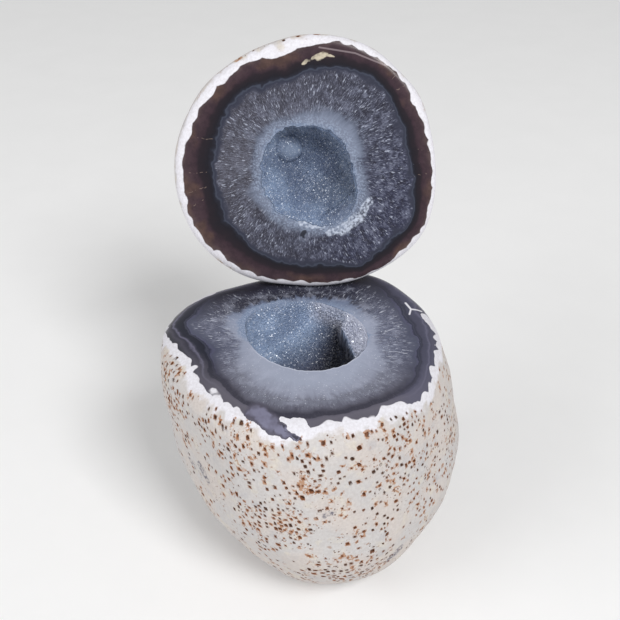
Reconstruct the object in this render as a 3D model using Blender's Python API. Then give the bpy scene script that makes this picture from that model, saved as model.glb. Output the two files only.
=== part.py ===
"""An agate geode, sawn in two and shown open.

The base stands on a ground flat, and its sawn face looks up. The lid is the cap that was sawn off: it
stands on its rim at the back of that face and leans back, so that its own sawn face looks at the viewer.
Each half is one stone, and each hollow is lined with one crust of quartz crystals.
Metres, +Z up. The origin is the centre of the ground flat.
"""
import math
import random
from functools import partial

import bmesh
import bpy
from mathutils import Matrix, Vector, noise

# The nodule: an egg whose axis drifts to the left as it rises
CUT_HEIGHT = 0.106
GIRTH_HEIGHT = 0.0508
GIRTH_RADIUS = 0.0585
GROUND_AWAY = 0.011  # how much of the round bottom was ground off to make it stand
LID_DEPTH = 0.040
LOWER_POWER = 1.8
UPPER_POWER = 2.8
AXIS_DRIFT = Vector((-0.1225, -0.013))  # sideways travel of the axis for each metre of height
OVAL, OVAL_TURN = 0.039, -0.13
THREE_SIDED, THREE_SIDED_TURN = 0.0725, 0.525
LUMP_HEIGHT = 0.0014
LUMP_SIZE = 0.021

# Outlines of the sawn halves: radii every 30 degrees from +X, about the axis
BASE_CUT_RADII = (0.0558, 0.0583, 0.0618, 0.0560, 0.0552, 0.0603, 0.0576, 0.0510, 0.0525, 0.0550, 0.0540, 0.0538)
LID_CUT_RADII = (0.0580, 0.0615, 0.0585, 0.0553, 0.0574, 0.0580, 0.0555, 0.0530, 0.0510, 0.0534, 0.0557, 0.0570)
LID_CENTRE = Vector((0.0, -0.052))  # middle of the lid's face, seen from the lid's foot

# The ground edge round each sawn face, wider on one side, and how far it goes down for its width
BASE_RIM = {"width": 0.0085, "swing": 0.0045, "widest": math.radians(235), "fall": 0.85}
LID_RIM = {"width": 0.0055, "swing": 0.0010, "widest": math.radians(180), "fall": 1.0}

# The hollows: radii every 30 degrees about the mouth's centre, and where and how deep the bottom is.
# One side goes down gently and the other steeply. A ledge slopes in from the mouth and breaks off along a
# straight brink, which is given by the way it looks and its distance from the mouth's centre. The ring of
# corners at brink_ring is the one that is laid on the brink.
BASE_HOLLOW = {
    "radii": (0.0238, 0.0230, 0.0225, 0.0245, 0.0252, 0.0284, 0.0258, 0.0242, 0.0240, 0.0247, 0.0249, 0.0244),
    "mouth": Vector((0.0030, 0.0065)),
    "bottom": Vector((0.0085, 0.0010)),
    "depth": 0.031,
    "gentle": 1.35,
    "steep": 3.2,
    "gentle_side": math.radians(130),
    "ledge_side": math.radians(14),
    "brink": 0.0159,
    "brink_ring": math.cos(math.radians(30)),
    "ledge_depth": 0.0048,
}
LID_HOLLOW = {
    "radii": (0.0205, 0.0250, 0.0260, 0.0215, 0.0205, 0.0190, 0.0185, 0.0190, 0.0200, 0.0190, 0.0200, 0.0200),
    "mouth": Vector((0.0010, 0.0040)),
    "bottom": Vector((0.0040, 0.0010)),
    "depth": 0.018,
    "gentle": 1.8,
    "steep": 2.8,
    "gentle_side": math.radians(130),
    "ledge_side": math.radians(50),
    "brink": 0.0207,
    "brink_ring": math.cos(math.radians(45)),
    "ledge_depth": 0.0030,
}
LEDGE_FADE = 4.0  # how soon the ledge gets its full form as it widens
CRUST_THICKNESS = 0.0030
FIT_GAP = 0.0004
CRYSTAL_HEIGHT = 0.0022
CRYSTAL_LEAN = 0.35
CRYSTAL_SCATTER = 0.0005
CRYSTAL_REBATE = 0.0005  # the crystals stay this far below the sawn face

# How the lid stands
LID_LEAN = math.radians(20)
LID_FOOT = Vector((-0.0129, 0.0378, 0.1101))

# Pits in the rind
BASE_PITS, LID_PITS = 96, 14
PIT_OPENING, PIT_DEPTH = 0.0031, 0.0019
PIT_TURN = math.radians(40)

# How fine the solids are
BASE_SEGMENTS, LID_SEGMENTS = 48, 40
SIDE_RINGS, DOME_RINGS, RIM_RINGS = 14, 9, 3
BASE_WALL_RINGS, LID_WALL_RINGS = 6, 6
BASE_CRYSTAL_RINGS, LID_CRYSTAL_RINGS = 9, 8
QUARTER = math.pi / 2

AGATE_COLOUR = (0.30, 0.28, 0.31, 1.0)
QUARTZ_COLOUR = (0.42, 0.50, 0.60, 1.0)


def smooth_loop(values, angle):
    """Value at an angle on a smooth closed curve through evenly spaced values (Catmull-Rom)."""
    place = (angle / math.tau % 1.0) * len(values)
    step = int(place)
    t = place - step
    a, b, c, d = (values[(step + k) % len(values)] for k in (-1, 0, 1, 2))
    return b + 0.5 * t * (c - a + t * (2 * a - 5 * b + 4 * c - d + t * (3 * (b - c) + d - a)))


def direction(angle):
    return Vector((math.cos(angle), math.sin(angle)))


def egg_radius(height):
    """Radius of the plain egg at a height above the ground flat."""
    if height < GIRTH_HEIGHT:
        share, power = (GIRTH_HEIGHT - height) / (GIRTH_HEIGHT + GROUND_AWAY), LOWER_POWER
    else:
        share, power = (height - GIRTH_HEIGHT) / (CUT_HEIGHT + LID_DEPTH - GIRTH_HEIGHT), UPPER_POWER
    return GIRTH_RADIUS * max(0.0, 1.0 - share ** power) ** (1.0 / power)


def body_shape(angle):
    """The nodule isn't round: it is slightly oval and slightly three-sided."""
    oval = OVAL * math.cos(2 * (angle - OVAL_TURN))
    three_sided = THREE_SIDED * math.cos(3 * (angle - THREE_SIDED_TURN))
    return 1.0 + oval + three_sided


def base_radius(angle, height):
    """The body's own shape low down, which becomes the sawn outline at the cut."""
    share = min(1.0, max(0.0, (height - GIRTH_HEIGHT) / (CUT_HEIGHT - GIRTH_HEIGHT)))
    share = share * share * (3 - 2 * share)
    cut_shape = smooth_loop(BASE_CUT_RADII, angle) / egg_radius(CUT_HEIGHT)
    return egg_radius(height) * ((1 - share) * body_shape(angle) + share * cut_shape)


def lid_radius(angle, depth):
    return egg_radius(CUT_HEIGHT + depth) / egg_radius(CUT_HEIGHT) * smooth_loop(LID_CUT_RADII, angle)


def rim_width(rim, angle):
    return rim["width"] + rim["swing"] * math.cos(angle - rim["widest"])


def lumped(point):
    """Pushes a point of the rind in or out a little, away from the axis."""
    away = Vector((point.x, point.y, 0.0)).normalized()
    return point + away * LUMP_HEIGHT * noise.noise(point / LUMP_SIZE)


def bowl(reach, power):
    """Depth of a bowl as a share of its full depth, from 0 at the mouth to 1 at the bottom."""
    return max(0.0, 1.0 - min(1.0, reach) ** power) ** (1.0 / power)


def brink_reach(hollow, angle):
    """How far out the ledge's brink is at an angle, from 0 at the bottom to nearly 1 where there is no ledge."""
    side = direction(hollow["ledge_side"])
    start = (hollow["bottom"] - hollow["mouth"]).dot(side)
    end = smooth_loop(hollow["radii"], angle) * direction(angle).dot(side)
    return (hollow["brink"] - start) / (end - start) if end > hollow["brink"] * 1.01 else 0.99


def hollow_point(hollow, angle, reach, grow):
    """A point of a hollow's wall, from the face's centre, with its depth as z. reach is 1 at the mouth."""
    gentleness = 0.5 + 0.5 * math.cos(angle - hollow["gentle_side"])
    power = hollow["steep"] + (hollow["gentle"] - hollow["steep"]) * gentleness
    brink = brink_reach(hollow, angle)
    ledge = min(1.0, (1.0 - brink) * LEDGE_FADE)
    ring = hollow["brink_ring"]
    moved = brink * reach / ring if reach < ring else brink + (1.0 - brink) * (reach - ring) / (1.0 - ring)
    reach += (moved - reach) * ledge
    edge = hollow["mouth"] + direction(angle) * (smooth_loop(hollow["radii"], angle) + grow)
    spot = hollow["bottom"].lerp(edge, reach)
    plain = bowl(reach, power)
    slope = hollow["ledge_depth"] * min(1.0, (1.0 - reach) / (1.0 - brink))
    ledged = slope + (hollow["depth"] - hollow["ledge_depth"]) * bowl(reach / brink, hollow["steep"])
    depth = plain * hollow["depth"] * (1.0 - ledge) + ledged * ledge
    back = plain * (1.0 - ledge) + bowl(reach, hollow["steep"]) * ledge
    return Vector((spot.x, spot.y, depth + grow * back))


def wall_reach(ring, rings):
    """Even steps round the curve of a wall, from 1 at the mouth down to 0 at the bottom."""
    return math.cos(ring / rings * QUARTER)


def in_base(spot):
    """From a base face's point with its depth to the part's frame."""
    axis = AXIS_DRIFT * CUT_HEIGHT
    return Vector((spot.x + axis.x, spot.y + axis.y, CUT_HEIGHT - spot.z))


def in_lid(spot):
    """From a lid face's point with its depth to the lid's own frame: face down, its foot at the origin."""
    return Vector((spot.x + LID_CENTRE.x, spot.y + LID_CENTRE.y, spot.z))


def shaped_ball(segments, stations, low_pole, high_pole):
    """A UV sphere whose rings are moved, one after the other from the low pole up, to the given stations.

    Each vertex keeps the number of its ring in the layer called ring.
    """
    mesh = bmesh.new()
    rings = len(stations) + 1
    bmesh.ops.create_uvsphere(mesh, u_segments=segments, v_segments=rings, radius=1.0)
    layer = mesh.verts.layers.int.new("ring")
    for vertex in mesh.verts:
        ring = round((1.0 - math.acos(max(-1.0, min(1.0, vertex.co.z))) / math.pi) * rings)
        vertex[layer] = ring
        if ring == 0:
            vertex.co = low_pole
        elif ring == rings:
            vertex.co = high_pole
        else:
            vertex.co = stations[ring - 1](math.atan2(vertex.co.y, vertex.co.x) % math.tau)
    return mesh


def faces_between(mesh, low, high):
    """The faces whose corners all lie on rings from low to high."""
    layer = mesh.verts.layers.int["ring"]
    return [face for face in mesh.faces if all(low <= vertex[layer] <= high for vertex in face.verts)]


def base_side(angle, share):
    """A point of the side, from the ground flat at share 0 to the foot of the ground edge at share 1."""
    height = share * (CUT_HEIGHT - rim_width(BASE_RIM, angle) * BASE_RIM["fall"])
    spot = AXIS_DRIFT * height + direction(angle) * base_radius(angle, height)
    point = Vector((spot.x, spot.y, height))
    return lumped(point) if height > 0 else point


def base_rim(angle, turn):
    """A quarter round from the side, at turn 0, to the edge of the sawn face."""
    height = CUT_HEIGHT - rim_width(BASE_RIM, angle) * BASE_RIM["fall"] * (1.0 - math.sin(turn))
    inset = rim_width(BASE_RIM, angle) * (1.0 - math.cos(turn))
    spot = AXIS_DRIFT * height + direction(angle) * (base_radius(angle, height) - inset)
    return Vector((spot.x, spot.y, height))


def base_wall(angle, reach):
    return in_base(hollow_point(BASE_HOLLOW, angle, reach, CRUST_THICKNESS + FIT_GAP))


def base_face(angle, share):
    return base_rim(angle, QUARTER).lerp(base_wall(angle, 1.0), share)


def lid_dome(angle, depth, inset=0.0):
    spot = LID_CENTRE + AXIS_DRIFT * depth + direction(angle) * (lid_radius(angle, depth) - inset)
    return Vector((spot.x, spot.y, depth))


def lid_side(angle, share):
    """A point of the dome, from the ground edge at share 0 to the top at share 1."""
    edge = rim_width(LID_RIM, angle) * LID_RIM["fall"]
    return lumped(lid_dome(angle, edge + (LID_DEPTH - edge) * share))


def lid_rim(angle, turn):
    depth = rim_width(LID_RIM, angle) * LID_RIM["fall"] * (1.0 - math.sin(turn))
    return lid_dome(angle, depth, rim_width(LID_RIM, angle) * (1.0 - math.cos(turn)))


def lid_wall(angle, reach):
    return in_lid(hollow_point(LID_HOLLOW, angle, reach, CRUST_THICKNESS + FIT_GAP))


def lid_face(angle, share):
    return lid_wall(angle, 1.0).lerp(lid_rim(angle, QUARTER), share)


def cut_pits(mesh, faces, count, seed):
    """Sinks small open pits into some of the rind's faces, picked by chance."""
    chance = random.Random(seed)
    pits = chance.sample(faces, count)
    for face in pits:
        reach = min(edge.calc_length() for edge in face.edges) / 2
        opening = PIT_OPENING * chance.uniform(0.7, 1.3)
        bmesh.ops.inset_individual(mesh, faces=[face], thickness=max(reach - opening / 2, reach * 0.4))
        turn = Matrix.Rotation(chance.uniform(-PIT_TURN, PIT_TURN), 3, face.normal)
        bmesh.ops.rotate(mesh, cent=face.calc_center_median(), matrix=turn, verts=face.verts)
    for vertex in bmesh.ops.poke(mesh, faces=pits)["verts"]:
        vertex.normal_update()
        vertex.co -= vertex.normal * PIT_DEPTH * chance.uniform(0.8, 1.2)


def geode_base():
    """From the ground flat up the side, over the rim, across the face and down into the hollow."""
    stations = [partial(base_side, share=(k / SIDE_RINGS) ** 1.25) for k in range(SIDE_RINGS)]
    stations += [partial(base_rim, turn=k / RIM_RINGS * QUARTER) for k in range(RIM_RINGS + 1)]
    stations += [partial(base_face, share=share) for share in (0.5, 1.0)]
    stations += [partial(base_wall, reach=wall_reach(k, BASE_WALL_RINGS)) for k in range(1, BASE_WALL_RINGS)]
    mesh = shaped_ball(BASE_SEGMENTS, stations, Vector(), base_wall(0.0, 0.0))
    cut_pits(mesh, faces_between(mesh, 3, SIDE_RINGS), BASE_PITS, seed=11)
    return mesh


def geode_lid():
    """From the bottom of the hollow out across the face, over the rim and up the dome."""
    stations = [partial(lid_wall, reach=wall_reach(k, LID_WALL_RINGS)) for k in range(LID_WALL_RINGS - 1, 0, -1)]
    stations += [partial(lid_face, share=share) for share in (0.0, 0.5)]
    stations += [partial(lid_rim, turn=k / RIM_RINGS * QUARTER) for k in range(RIM_RINGS, -1, -1)]
    first_rind_ring = len(stations)
    stations += [partial(lid_side, share=math.sin(k / DOME_RINGS * QUARTER)) for k in range(1, DOME_RINGS)]
    mesh = shaped_ball(LID_SEGMENTS, stations, lid_wall(0.0, 0.0), lid_side(0.0, 1.0))
    cut_pits(mesh, faces_between(mesh, first_rind_ring, first_rind_ring + DOME_RINGS - 3), LID_PITS, seed=12)
    return mesh


def by_chance(chance, amount):
    return Vector([chance.uniform(-amount, amount) for _ in range(3)])


def grow_crystals(mesh, faces, lowest, highest, seed):
    """Raises a flat-sided point on each face, which stays between two heights."""
    chance = random.Random(seed)
    inside = set(faces)
    for vertex in mesh.verts:
        if inside.issuperset(vertex.link_faces):
            vertex.co += by_chance(chance, CRYSTAL_SCATTER)
    for vertex in bmesh.ops.poke(mesh, faces=faces)["verts"]:
        vertex.normal_update()
        lean = by_chance(chance, CRYSTAL_LEAN)
        across = min(edge.calc_length() for edge in vertex.link_edges)
        reach = min(CRYSTAL_HEIGHT, across * 1.3) * chance.uniform(0.6, 1.15)
        vertex.co += (vertex.normal + lean).normalized() * reach
        vertex.co.z = min(max(vertex.co.z, lowest), highest)


def crystal_crust(hollow, place, segments, wall_rings, crystal_rings, seed):
    """The crust that lines a hollow: plain on the side that grew on the wall, all crystals on the other."""
    def point(angle, reach, grow):
        return place(hollow_point(hollow, angle, reach, grow))

    outer = [partial(point, reach=wall_reach(k, wall_rings), grow=CRUST_THICKNESS) for k in range(wall_rings)]
    inner = [partial(point, reach=wall_reach(k, crystal_rings), grow=0.0) for k in range(crystal_rings)]
    outer_pole, inner_pole = point(0.0, 0.0, CRUST_THICKNESS), point(0.0, 0.0, 0.0)
    if outer_pole.z < inner_pole.z:
        mesh = shaped_ball(segments, outer[::-1] + inner, outer_pole, inner_pole)
        faces = faces_between(mesh, wall_rings + 1, wall_rings + crystal_rings + 1)
    else:
        mesh = shaped_ball(segments, inner[::-1] + outer, inner_pole, outer_pole)
        faces = faces_between(mesh, 0, crystal_rings)
    limits = sorted((place(Vector((0.0, 0.0, CRYSTAL_REBATE))).z, inner_pole.z))
    grow_crystals(mesh, faces, limits[0], limits[1], seed)
    return mesh


def stone_material(name, colour, roughness):
    material = bpy.data.materials.new(name)
    material.use_nodes = True
    shader = material.node_tree.nodes["Principled BSDF"]
    shader.inputs["Base Color"].default_value = colour
    shader.inputs["Roughness"].default_value = roughness
    shader.inputs["Metallic"].default_value = 0.0
    material.diffuse_color = colour
    return material


def add_piece(name, mesh, material, collection, parent=None, rounded=True):
    bmesh.ops.triangulate(mesh, faces=mesh.faces, quad_method="SHORT_EDGE")
    data = bpy.data.meshes.new(name)
    mesh.to_mesh(data)
    mesh.free()
    data.materials.append(material)
    if rounded:
        data.shade_smooth()
        data.set_sharp_from_angle(angle=math.radians(32))
    piece = bpy.data.objects.new(name, data)
    piece.parent = parent
    collection.objects.link(piece)


def build():
    for old in list(bpy.data.objects):
        bpy.data.objects.remove(old)
    collection = bpy.data.collections.new("agate_geode")
    bpy.context.scene.collection.children.link(collection)

    lid_foot = bpy.data.objects.new("lid_foot", None)
    lid_foot.location = LID_FOOT
    lid_foot.rotation_euler = (-(QUARTER + LID_LEAN), 0.0, 0.0)
    collection.objects.link(lid_foot)

    rind = stone_material("agate_stone", AGATE_COLOUR, 0.35)
    druse = stone_material("quartz_crystals", QUARTZ_COLOUR, 0.25)
    base_crust = crystal_crust(BASE_HOLLOW, in_base, BASE_SEGMENTS, BASE_WALL_RINGS, BASE_CRYSTAL_RINGS, seed=21)
    lid_crust = crystal_crust(LID_HOLLOW, in_lid, LID_SEGMENTS, LID_WALL_RINGS, LID_CRYSTAL_RINGS, seed=22)
    add_piece("geode_base", geode_base(), rind, collection)
    add_piece("base_crystal_crust", base_crust, druse, collection, rounded=False)
    add_piece("geode_lid", geode_lid(), rind, collection, parent=lid_foot)
    add_piece("lid_crystal_crust", lid_crust, druse, collection, parent=lid_foot, rounded=False)


build()
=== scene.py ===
import bisect
import math
import random
from functools import partial

import bmesh
import bpy
from mathutils import Matrix, Vector, noise


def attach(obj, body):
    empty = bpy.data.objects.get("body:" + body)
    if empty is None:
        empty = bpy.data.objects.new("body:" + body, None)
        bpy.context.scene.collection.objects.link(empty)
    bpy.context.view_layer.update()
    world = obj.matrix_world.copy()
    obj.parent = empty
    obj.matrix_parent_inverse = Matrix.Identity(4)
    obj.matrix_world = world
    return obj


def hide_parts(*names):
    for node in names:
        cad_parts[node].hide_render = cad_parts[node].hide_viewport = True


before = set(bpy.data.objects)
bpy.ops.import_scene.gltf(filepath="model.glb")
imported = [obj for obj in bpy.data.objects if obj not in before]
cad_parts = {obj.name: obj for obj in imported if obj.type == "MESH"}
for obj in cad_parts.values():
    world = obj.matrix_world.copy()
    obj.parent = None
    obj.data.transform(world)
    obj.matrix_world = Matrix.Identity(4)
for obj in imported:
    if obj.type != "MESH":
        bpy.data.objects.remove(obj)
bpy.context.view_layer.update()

quarter = math.pi / 2
print("frame loaded")

# The nodule in metres: an egg whose axis drifts to the left as it rises
nodule = {
    "cutHeight": 0.106,
    "girthHeight": 0.0508,
    "girthRadius": 0.0585,
    "groundAway": 0.011,
    "lidDepth": 0.040,
    "lowerPower": 1.8,
    "upperPower": 2.8,
    "axisDrift": Vector((-0.1225, -0.013)),
    "oval": 0.039,
    "ovalTurn": -0.13,
    "threeSided": 0.0725,
    "threeSidedTurn": 0.525,
    "lumpHeight": 0.0014,
    "lumpSize": 0.021,
    "grainHeight": 0.00022,
    "grainSize": 0.0042,
}

# Each half: its outline every 30 degrees from +X, the ground edge round its sawn face, and its mesh
baseHalf = {
    "outline": (0.0558, 0.0583, 0.0618, 0.056, 0.0552, 0.0603, 0.0576, 0.051, 0.0525, 0.055, 0.054, 0.0538),
    "rimWidth": 0.0085,
    "rimSwing": 0.0045,
    "rimWidest": math.radians(235),
    "rimFall": 0.85,
    "segments": 400,
    "groundRings": 3,
    "sideRings": 104,
    "rimRings": 13,
    "faceRings": 26,
}
lidHalf = {
    "outline": (0.058, 0.0615, 0.0585, 0.0553, 0.0574, 0.058, 0.0555, 0.053, 0.051, 0.0534, 0.0557, 0.057),
    "middle": Vector((0.0, -0.052)),
    "rimWidth": 0.0055,
    "rimSwing": 0.0010,
    "rimWidest": math.radians(180),
    "rimFall": 1.0,
    "lean": math.radians(20),
    "foot": Vector((-0.0129, 0.0378, 0.1101)),
    "segments": 300,
    "domeRings": 48,
    "rimRings": 9,
    "faceRings": 30,
}

# The hollows: radii every 30 degrees about the mouth's middle, the bottom, a ledge with a straight brink,
# and how much painted shade lies on the crystals and on the ledge, and how pale the ledge's crystals are
baseHollow = {
    "radii": (0.0238, 0.0230, 0.0225, 0.0245, 0.0252, 0.0284, 0.0258, 0.0242, 0.0240, 0.0247, 0.0249, 0.0244),
    "mouth": Vector((0.0030, 0.0065)),
    "bottom": Vector((0.0085, 0.0010)),
    "depth": 0.031,
    "gentle": 1.35,
    "steep": 3.2,
    "gentleSide": math.radians(130),
    "ledgeSide": math.radians(14),
    "brink": 0.0159,
    "ledgeDepth": 0.0048,
    "ragged": 0.0004,
    "paintedShade": 1.0,
    "paleLedge": 1.0,
    "darkLedge": 0.0,
}
lidHollow = {
    "radii": (0.0205, 0.0250, 0.0260, 0.0215, 0.0205, 0.0190, 0.0185, 0.0190, 0.0200, 0.0190, 0.0200, 0.0200),
    "mouth": Vector((0.0010, 0.0040)),
    "bottom": Vector((0.0040, 0.0010)),
    "depth": 0.018,
    "gentle": 1.8,
    "steep": 2.8,
    "gentleSide": math.radians(130),
    "ledgeSide": math.radians(50),
    "brink": 0.0207,
    "ledgeDepth": 0.0030,
    "ragged": 0.0009,
    "paintedShade": 0.3,
    "paleLedge": 0.0,
    "darkLedge": 0.6,
}

# Where the growth bands of each face end, in metres from its middle, every 15 degrees as the viewer sees it:
# the rind's inner edge, the dark band next to the quartz, and the pale ring round the hollow
baseBands = {
    "rind": (0.0550, 0.0556, 0.0600, 0.0625, 0.0640, 0.0620, 0.0570, 0.0540, 0.0530, 0.0550, 0.0580, 0.0596,
             0.0512, 0.0450, 0.0460, 0.0453, 0.0462, 0.0495, 0.0505, 0.0492, 0.0504, 0.0520, 0.0562, 0.0538),
    "dark": (0.0471, 0.0468, 0.0478, 0.0517, 0.0545, 0.0525, 0.0495, 0.0480, 0.0480, 0.0510, 0.0500, 0.0490,
             0.0382, 0.0368, 0.0382, 0.0396, 0.0422, 0.0438, 0.0445, 0.0446, 0.0453, 0.0475, 0.0490, 0.0470),
    "pale": (0.0305, 0.0320, 0.0345, 0.0360, 0.0369, 0.0354, 0.0345, 0.0337, 0.0340, 0.0350, 0.0364, 0.0295,
             0.0246, 0.0255, 0.0285, 0.0310, 0.0335, 0.0345, 0.0353, 0.0360, 0.0365, 0.0370, 0.0360, 0.0330),
    # how pale the face is painted at each turn, every 30 degrees: paler in front and darker at the back,
    # painted light and shade
    "toneAndShade": (0.42, 0.30, 0.12, 0.00, 0.05, 0.22, 0.45, 0.70, 0.92, 1.00, 0.92, 0.70),
    "tongueTurn": math.radians(263),
    "tongueWidth": math.radians(6),
    "tongueLength": 0.0022,
}
lidBands = {
    "rind": (0.0545, 0.0530, 0.0523, 0.0535, 0.0520, 0.0510, 0.0472, 0.0450, 0.0466, 0.0470, 0.0480, 0.0484,
             0.0503, 0.0515, 0.0540, 0.0536, 0.0529, 0.0520, 0.0515, 0.0537, 0.0560, 0.0570, 0.0582, 0.0564),
    "dark": (0.0458, 0.0445, 0.0448, 0.0458, 0.0442, 0.0402, 0.0363, 0.0353, 0.0366, 0.0385, 0.0381, 0.0372,
             0.0383, 0.0383, 0.0405, 0.0410, 0.0424, 0.0434, 0.0443, 0.0460, 0.0508, 0.0509, 0.0522, 0.0490),
    "pale": (0.0270, 0.0270, 0.0275, 0.0260, 0.0255, 0.0220, 0.0207, 0.0198, 0.0215, 0.0220, 0.0225, 0.0220,
             0.0225, 0.0232, 0.0245, 0.0260, 0.0270, 0.0290, 0.0300, 0.0320, 0.0360, 0.0330, 0.0325, 0.0285),
    # the grey tone of the face at each turn, every 30 degrees
    "toneAndShade": (0.10, 0.15, 0.35, 0.55, 0.65, 0.80, 1.00, 0.80, 0.45, 0.30, 0.15, 0.10),
    "tongueTurn": 0.0,
    "tongueWidth": 1.0,
    "tongueLength": 0.0,
}


def smoothLoop(values, angle):  # a smooth closed curve through evenly spaced values
    place = (angle / math.tau % 1.0) * len(values)
    step = int(place)
    t = place - step
    a, b, c, d = (values[(step + k) % len(values)] for k in (-1, 0, 1, 2))
    return b + 0.5 * t * (c - a + t * (2 * a - 5 * b + 4 * c - d + t * (3 * (b - c) + d - a)))


def clip(value):
    return min(1.0, max(0.0, value))


def direction(angle):
    return Vector((math.cos(angle), math.sin(angle)))


def eggRadius(height):
    girth = nodule["girthHeight"]
    if height < girth:
        share, power = (girth - height) / (girth + nodule["groundAway"]), nodule["lowerPower"]
    else:
        top = nodule["cutHeight"] + nodule["lidDepth"]
        share, power = (height - girth) / (top - girth), nodule["upperPower"]
    return nodule["girthRadius"] * max(0.0, 1.0 - share ** power) ** (1.0 / power)


def bodyShape(angle):
    oval = nodule["oval"] * math.cos(2 * (angle - nodule["ovalTurn"]))
    threeSided = nodule["threeSided"] * math.cos(3 * (angle - nodule["threeSidedTurn"]))
    return 1.0 + oval + threeSided


def baseRadius(angle, height):
    girth, cut = nodule["girthHeight"], nodule["cutHeight"]
    share = clip((height - girth) / (cut - girth))
    share = share * share * (3 - 2 * share)
    cutShape = smoothLoop(baseHalf["outline"], angle) / eggRadius(cut)
    return eggRadius(height) * ((1 - share) * bodyShape(angle) + share * cutShape)


def lidRadius(angle, depth):
    cut = nodule["cutHeight"]
    return eggRadius(cut + depth) / eggRadius(cut) * smoothLoop(lidHalf["outline"], angle)


def rimWidth(half, angle):
    return half["rimWidth"] + half["rimSwing"] * math.cos(angle - half["rimWidest"])


def lumped(point, grain=1.0):  # broad lumps as on the solids, and a fine unevenness
    away = Vector((point.x, point.y, 0.0)).normalized()
    lump = nodule["lumpHeight"] * noise.noise(point / nodule["lumpSize"])
    fine = noise.fractal(point / nodule["grainSize"], 0.8, 2.2, 3)
    return point + away * (lump + nodule["grainHeight"] * grain * fine)


def bowl(reach, power):
    return max(0.0, 1.0 - min(1.0, reach) ** power) ** (1.0 / power)


def brinkReach(hollow, angle):  # 0 at the bottom, nearly 1 where there is no ledge
    side = direction(hollow["ledgeSide"])
    start = (hollow["bottom"] - hollow["mouth"]).dot(side)
    end = smoothLoop(hollow["radii"], angle) * direction(angle).dot(side)
    return (hollow["brink"] - start) / (end - start) if end > hollow["brink"] * 1.01 else 0.99


def hollowPoint(hollow, angle, reach, grow):
    # from the face's middle, with its depth as z; reach is 1 at the mouth
    gentleness = 0.5 + 0.5 * math.cos(angle - hollow["gentleSide"])
    power = hollow["steep"] + (hollow["gentle"] - hollow["steep"]) * gentleness
    plainRadius = smoothLoop(hollow["radii"], angle)
    ripple = noise.fractal((hollow["mouth"] + direction(angle) * plainRadius).to_3d() / 0.003, 1.0, 2.0, 2)
    radius = plainRadius + grow + hollow["ragged"] * ripple * reach ** 6
    spot = hollow["bottom"].lerp(hollow["mouth"] + direction(angle) * radius, reach)
    plain = bowl(reach, power)
    brink = brinkReach(hollow, angle)
    ledge = min(1.0, (1.0 - brink) * 4)
    slope = hollow["ledgeDepth"] * min(1.0, (1.0 - reach) / (1.0 - brink))
    ledged = slope + (hollow["depth"] - hollow["ledgeDepth"]) * bowl(reach / brink, hollow["steep"])
    depth = plain * hollow["depth"] * (1.0 - ledge) + ledged * ledge
    back = plain * (1.0 - ledge) + bowl(reach, hollow["steep"]) * ledge
    return Vector((spot.x, spot.y, depth + grow * back))


wallLengths = {}


def evenReach(hollow, angle, share):  # the reach of a point, from its share of the way up along the wall
    step = round(angle / math.tau * 360) % 360
    if (hollow["depth"], step) not in wallLengths:
        lengths, last = [0.0], hollowPoint(hollow, step / 360 * math.tau, 0.0, 0.0)
        for k in range(1, 101):
            spot = hollowPoint(hollow, step / 360 * math.tau, k / 100, 0.0)
            lengths.append(lengths[-1] + (spot - last).length)
            last = spot
        wallLengths[(hollow["depth"], step)] = lengths
    lengths = wallLengths[(hollow["depth"], step)]
    way = share * lengths[-1]
    k = min(99, max(0, bisect.bisect_right(lengths, way) - 1))
    return min(1.0, (k + (way - lengths[k]) / (lengths[k + 1] - lengths[k])) / 100)


baseAxis = nodule["axisDrift"] * nodule["cutHeight"]
lidPlace = Matrix.Translation(lidHalf["foot"]) @ Matrix.Rotation(-(quarter + lidHalf["lean"]), 4, "X")


def inBase(spot):
    return Vector((spot.x + baseAxis.x, spot.y + baseAxis.y, nodule["cutHeight"] - spot.z))


def inLid(spot):  # the lid's own frame: face down, its foot at the origin
    return Vector((spot.x + lidHalf["middle"].x, spot.y + lidHalf["middle"].y, spot.z))


def shapedBall(segments, stations, lowPole, highPole):
    # a UV sphere whose rings are moved one after the other, from the low pole up, to the given stations
    mesh = bmesh.new()
    rings = len(stations) + 1
    bmesh.ops.create_uvsphere(mesh, u_segments=segments, v_segments=rings, radius=1.0)
    ringLayer = mesh.verts.layers.int.new("ring")
    turnLayer = mesh.verts.layers.float.new("turn")
    for vertex in mesh.verts:
        ring = round((1.0 - math.acos(max(-1.0, min(1.0, vertex.co.z))) / math.pi) * rings)
        angle = math.atan2(vertex.co.y, vertex.co.x) % math.tau
        vertex[ringLayer] = ring
        vertex[turnLayer] = angle
        if ring == 0:
            vertex.co = lowPole
        elif ring == rings:
            vertex.co = highPole
        else:
            vertex.co = stations[ring - 1](angle)
    return mesh


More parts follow.
